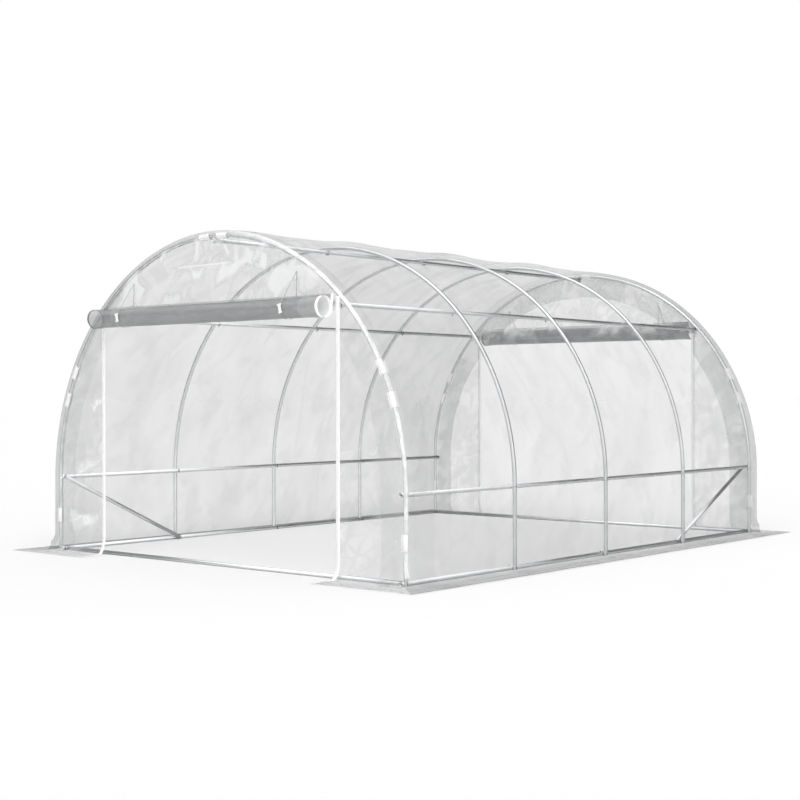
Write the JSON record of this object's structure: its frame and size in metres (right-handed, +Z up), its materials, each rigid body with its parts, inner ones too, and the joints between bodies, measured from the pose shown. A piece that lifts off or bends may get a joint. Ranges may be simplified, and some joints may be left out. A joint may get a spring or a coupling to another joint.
{
  "type": "polytunnel greenhouse",
  "caption": "Walk-in tunnel greenhouse: steel tube hoops and purlins under a fitted clear film cover with ground skirts, zipped doorways at both ends, doors rolled up.",
  "frame": {"origin": "on the ground, at the middle of the plan", "axes": "+Y along the tunnel from the front end to the back end, +X to the right seen from the front, +Z up"},
  "size_m": [3.46, 4.472, 2.0078],
  "materials": {
    "galvanised_steel": "hot-dip galvanised, semi-matt",
    "clear_film": "clear, slightly milky polyethylene film",
    "double_film": "two layers of clear polyethylene film",
    "rolled_film": "many layers of rolled clear film",
    "white_clips": "moulded white plastic",
    "white_zips": "white zip tape with nylon teeth",
    "white_ties": "white webbing and cord"
  },
  "bodies": {
    "root": {"back_base_rail": "galvanised_steel", "back_clips": "white_clips", "back_door_roll": "rolled_film", "back_edge_band": "double_film", "back_film_gable": "clear_film", "back_film_left": "clear_film", "back_film_right": "clear_film", "back_right_brace": "galvanised_steel", "back_roll_ties": "white_ties", "back_skirt_left": "clear_film", "back_skirt_right": "clear_film", "back_zips": "white_zips", "front_base_rail": "galvanised_steel", "front_clips": "white_clips", "front_door_roll": "rolled_film", "front_edge_band": "double_film", "front_film_gable": "clear_film", "front_film_left": "clear_film", "front_film_right": "clear_film", "front_left_brace": "galvanised_steel", "front_roll_ties": "white_ties", "front_skirt_left": "clear_film", "front_skirt_right": "clear_film", "front_zips": "white_zips", "hoop_1": "galvanised_steel", "hoop_2": "galvanised_steel", "hoop_3": "galvanised_steel", "hoop_4": "galvanised_steel", "hoop_5": "galvanised_steel", "left_base_rail": "galvanised_steel", "left_hoop_legs": "galvanised_steel", "left_lower_rail": "galvanised_steel", "left_purlin": "galvanised_steel", "left_side_film": "clear_film", "left_skirt": "clear_film", "ridge_purlin": "galvanised_steel", "right_base_rail": "galvanised_steel", "right_hoop_legs": "galvanised_steel", "right_lower_rail": "galvanised_steel", "right_purlin": "galvanised_steel", "right_side_film": "clear_film", "right_skirt": "clear_film", "roof_film": "clear_film"}
  },
  "joints": []
}
